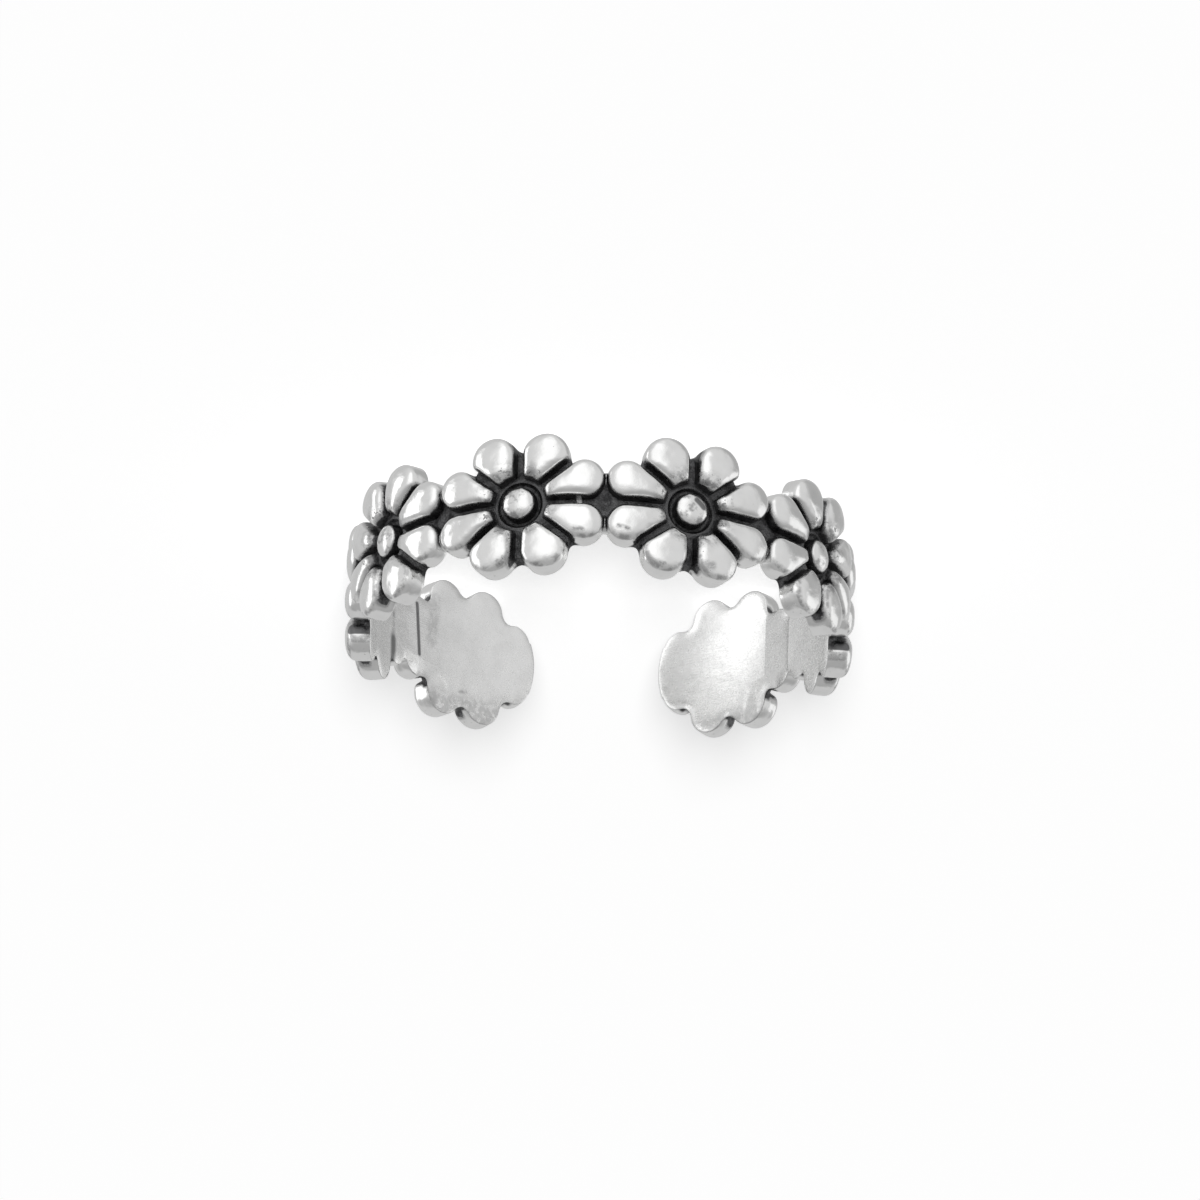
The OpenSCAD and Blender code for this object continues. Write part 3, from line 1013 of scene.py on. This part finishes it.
def silver_material(finish, pitch):
    """Polished silver petals, blackened grooves and a brushed inner face."""
    material = bpy.data.materials.new("silver")
    material.use_nodes = True
    material.node_tree.nodes.clear()
    t = Tree(material.node_tree)
    at = SilverPlaces(t, pitch)
    specks, marks = wear_and_shade(t, at)
    dark, bare = drawn_marks(t, at)
    # The marks hold worn marks and strokes, and painted shade: the band on the lower shoulders and the
    # lines on the back by the last neck
    marks = t.largest(marks, dark)
    crept = t.plus(at.oxide, t.less(at.cloud, 0.5))
    blackened = t.times(t.step(crept, 0.36, 0.66), t.less(1.0, bare))

    rgba = {name: (*getattr(finish, name), 1) for name in ("silver", "tarnish", "black", "rubbed")}
    black = t.blend(rubbed_share(t, at), rgba["black"], rgba["rubbed"])
    film = t.times(t.step(t.noise(at.flat, 1.1, 2.0), 0.35, 0.75), 0.12)
    bright = t.blend(marks, t.blend(film, rgba["silver"], rgba["tarnish"]), rgba["rubbed"])

    uneven = t.step(at.cloud, 0.3, 0.7, (finish.polish * 0.7, finish.polish * 1.4))
    rough = t.plus(uneven, t.times(at.back, finish.brushed - finish.polish),
                   t.times(t.largest(blackened, marks), finish.matt - finish.polish))
    shader = t.add("ShaderNodeBsdfPrincipled", {
        "Base Color": t.blend(blackened, bright, black), "Metallic": 1.0, "Roughness": rough,
        "Normal": silver_normal(t, at, specks)})
    t.add("ShaderNodeOutputMaterial", {"Surface": shader.outputs[0]})
    return material


class TOERING_OT_daisy_band(bpy.types.Operator):
    """Cast the row of daisies and bend it round the bore"""
    bl_idname = "toering.daisy_band"
    bl_label = "Daisy band"

    def execute(self, context):
        sizes = context.scene.toe_ring_sizes
        ends = {"First daisy": (True, False), "Middle daisy": (False, False), "Last daisy": (False, True)}
        units = {name: skin_object(build_unit(sizes, *open_at), name) for name, open_at in ends.items()}
        holder = place_object("row", bpy.data.meshes.new("row"))
        modifier = holder.modifiers.new("Row", "NODES")
        modifier.node_group = row_tree()
        values = {
            **units, "Daisies": sizes.flowers, "Pitch": sizes.pitch, "Bore radius": BORE_R,
            "Row radius": BORE_R + sizes.row_height, "Mid height": MID_HEIGHT, "Middle angle": -math.pi / 2,
            "Weld": WELD, "Wobble": sizes.wobble, "Wobble scale": WOBBLE_SCALE, "Half width": BAND_W / 2,
            "Seed": WOBBLE_SEED, "Material": silver_material(context.scene.toe_ring_finish, sizes.pitch)}
        for name, value in values.items():
            modifier[socket_key(modifier.node_group, name)] = value
        holder.update_tag()
        context.view_layer.update()
        depsgraph = context.evaluated_depsgraph_get()
        mesh = bpy.data.meshes.new_from_object(holder.evaluated_get(depsgraph))
        if not mesh.polygons:
            raise RuntimeError("the row of daisies came out empty")
        band = place_object("silver_daisies", mesh)
        for helper in (*units.values(), holder):
            bpy.data.objects.remove(helper)
        mesh.materials.clear()
        mesh.materials.append(values["Material"])
        mesh.polygons.foreach_set("material_index", np.zeros(len(mesh.polygons), np.int32))
        mesh.shade_smooth()
        mesh.set_sharp_from_angle(angle=SHARP_FROM)
        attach(band, body_of_band())
        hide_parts(BAND)
        return {"FINISHED"}


def body_of_band():
    """The body that the band belongs to."""
    return next(iter(frame["bodies"]))


class ToeRingStage(bpy.types.PropertyGroup):
    """The floor, the light and the camera."""
    floor_white: shade("Floor", (0.9, 0.9, 0.9), "Pale floor")
    floor_glow: share("Floor glow", 0.74, "Light that comes through the floor from below")
    low_sun: share("Low light", 2.85, "Strength of the low light from the camera's side", top=20)
    low_sun_rise: angle("Low light's rise", 17.5, "Its angle over the floor")
    low_sun_soft: angle("Low light's softness", 9, "Angle that it fills, which softens its shadows")
    elevation: angle("Camera's rise", 21.368, "Angle of the camera's view over the floor")


# The camera that was fitted to the photograph: its turn round the ring and its roll in
# radians, pixels to a millimetre, the pixels by which it looks past the ring's middle, and
# its distance in millimetres
CAMERA_TURN, CAMERA_ROLL = 0.00816, 0.0323
PHOTO_SCALE, PHOTO_ASIDE, PHOTO_WIDTH = 30.0728, (0.546, -8.574), 1200
CAMERA_AWAY = 400.0
SENSOR = 36


def turned_over(x, y, z):
    """A direction of the photograph's ring, on the ring turned over about the Y axis."""
    return Vector((-x, y, -z))


def aim_camera(stage):
    """The camera of the photograph, turned so that the near petals are at the picture's top."""
    sa, ca = math.sin(CAMERA_TURN), math.cos(CAMERA_TURN)
    se, ce = math.sin(stage.elevation), math.cos(stage.elevation)
    depth = turned_over(ce * sa, ce * ca, se)
    right, up = turned_over(ca, -sa, 0), turned_over(-se * sa, -se * ca, ce)
    picture_right = math.cos(CAMERA_ROLL) * right + math.sin(CAMERA_ROLL) * up
    picture_up = -math.sin(CAMERA_ROLL) * right + math.cos(CAMERA_ROLL) * up
    aside, above = PHOTO_ASIDE
    place = (Vector((0, 0, MID_HEIGHT / MM)) - CAMERA_AWAY * depth
             - picture_right * aside / PHOTO_SCALE + picture_up * above / PHOTO_SCALE)
    data = bpy.data.cameras.new("camera")
    data.sensor_width = SENSOR
    data.lens = SENSOR * PHOTO_SCALE * CAMERA_AWAY / PHOTO_WIDTH
    data.clip_start, data.clip_end = 0.01, 10
    camera = place_object("camera", data)
    turned = Matrix((picture_right, picture_up, -depth)).transposed().to_4x4()
    turned.translation = place * MM
    camera.matrix_world = turned
    bpy.context.scene.camera = camera


# The light tent, by direction: azimuth from the camera's side towards +X and elevation,
# each in degrees, of a panel's middle, its half sizes, the width of its soft rim, and its gain
TENT = (
    ("main panel", 12.5, -30, 10, 22, 32, 0.45),
    ("left panel", 94, -9, 6, 19, 13, 0.95),
    ("right panel", -108, 2, 18, 13, 10, 0.4),
    ("right dark corner", -118, -40, 20, 18, 20, -0.16),
)
# Its brightness in front and behind, the azimuths between which it changes, and how much it
# is dimmed overhead, between which elevations and up to which azimuths
TENT_FRONT, TENT_BACK, TENT_SIDES = 0.72, 0.6, (60, 105)
TENT_OVERHEAD, TENT_RISE, TENT_DIMMED = 0.42, (3, 52), (90, 130)


def light_tent():
    """A world that differs by direction: pale all round, brighter panels, dimmer overhead."""
    world = bpy.data.worlds.new("tent")
    world.use_nodes = True
    world.node_tree.nodes.clear()
    t = Tree(world.node_tree)
    x, y, z = t.parts(t.add("ShaderNodeTexCoord").outputs["Generated"])
    azimuth, elevation = (t.times(turn, 180 / math.pi) for turn in (
        t.math("ARCTAN2", x, t.times(y, -1.0)), t.math("ARCSINE", z)))
    aside = t.math("ABSOLUTE", azimuth)
    dim = t.times(t.step(elevation, *TENT_RISE, (0, TENT_OVERHEAD)), t.step(aside, *TENT_DIMMED, (1, 0)))
    bright = t.times(t.step(aside, *TENT_SIDES, (TENT_FRONT, TENT_BACK)), t.less(1.0, dim))
    for _, around, over, half_w, half_h, soft, gain in TENT:
        off, rise = (t.math("ABSOLUTE", t.less(way, middle))
                     for way, middle in ((azimuth, around), (elevation, over)))
        bright = t.plus(bright, t.times(
            t.step(off, half_w, half_w + soft, (gain, 0)), t.step(rise, half_h, half_h + soft, (1, 0))))
    on_floor = t.add("ShaderNodeLightPath").outputs["Is Diffuse Ray"]
    bright = t.times(bright, t.less(1.0, on_floor))
    sky = t.add("ShaderNodeBackground", {"Color": (1, 1, 1, 1), "Strength": bright})
    t.add("ShaderNodeOutputWorld", {"Surface": sky.outputs[0]})
    world.cycles.sampling_method = "NONE"
    bpy.context.scene.world = world


def lay_floor(stage):
    """A pale floor, lit from below, that the silver doesn't mirror."""
    half = 2.0
    corners = [(-half, -half, 0), (half, -half, 0), (half, half, 0), (-half, half, 0)]
    mesh = bpy.data.meshes.new("floor")
    mesh.from_pydata(corners, [], [(0, 1, 2, 3)])
    floor = place_object("floor", mesh)
    floor.visible_glossy = False
    paint = bpy.data.materials.new("floor")
    paint.use_nodes = True
    for name, value in {
            "Base Color": (*stage.floor_white, 1), "Roughness": 1.0, "Specular IOR Level": 0.0,
            "Emission Color": (1, 1, 1, 1), "Emission Strength": stage.floor_glow}.items():
        paint.node_tree.nodes["Principled BSDF"].inputs[name].default_value = value
    mesh.materials.append(paint)


def hang_low_sun(stage):
    """Soft light from the camera's side, which draws the faint shadows behind the ends."""
    lamp = bpy.data.lights.new("low_light", "SUN")
    lamp.energy = stage.low_sun
    lamp.angle = stage.low_sun_soft
    sun = place_object("low_light", lamp)
    sun.rotation_euler = (math.pi / 2 - stage.low_sun_rise, 0, 0)
    sun.visible_glossy = False


class TOERING_OT_stage(bpy.types.Operator):
    """Set up the pale floor, the soft light and the camera"""
    bl_idname = "toering.stage"
    bl_label = "Stage"

    def execute(self, context):
        stage = context.scene.toe_ring_stage
        aim_camera(stage)
        light_tent()
        lay_floor(stage)
        hang_low_sun(stage)
        context.scene.view_settings.view_transform = "Standard"
        return {"FINISHED"}


class TOERING_PT_panel(bpy.types.Panel):
    """The toe ring's operators and sizes"""
    bl_idname = "TOERING_PT_panel"
    bl_label = "Toe Ring"
    bl_space_type = "VIEW_3D"
    bl_region_type = "UI"
    bl_category = "Toe Ring"

    def draw(self, context):
        for operator in STEPS:
            self.layout.operator(operator.bl_idname)
        for name in GROUPS:
            group = getattr(context.scene, name)
            for key in group.__annotations__:
                self.layout.prop(group, key)


STEPS = (TOERING_OT_daisy_band, TOERING_OT_stage)
GROUPS = {"toe_ring_sizes": ToeRingSizes, "toe_ring_finish": ToeRingFinish, "toe_ring_stage": ToeRingStage}


def register():
    """Make the sizes, the operators and the panel known, and hang the sizes on the scene."""
    for kind in (*GROUPS.values(), *STEPS, TOERING_PT_panel):
        bpy.utils.register_class(kind)
    for name, kind in GROUPS.items():
        setattr(bpy.types.Scene, name, bpy.props.PointerProperty(type=kind))


def unregister():
    """Take them off again."""
    for name in GROUPS:
        delattr(bpy.types.Scene, name)
    for kind in (TOERING_PT_panel, *reversed(STEPS), *reversed(GROUPS.values())):
        bpy.utils.unregister_class(kind)


def main():
    """Build the ring and its stage."""
    register()
    bpy.ops.toering.daisy_band()
    bpy.ops.toering.stage()
    bpy.context.view_layer.update()


if __name__ == "__main__":
    main()
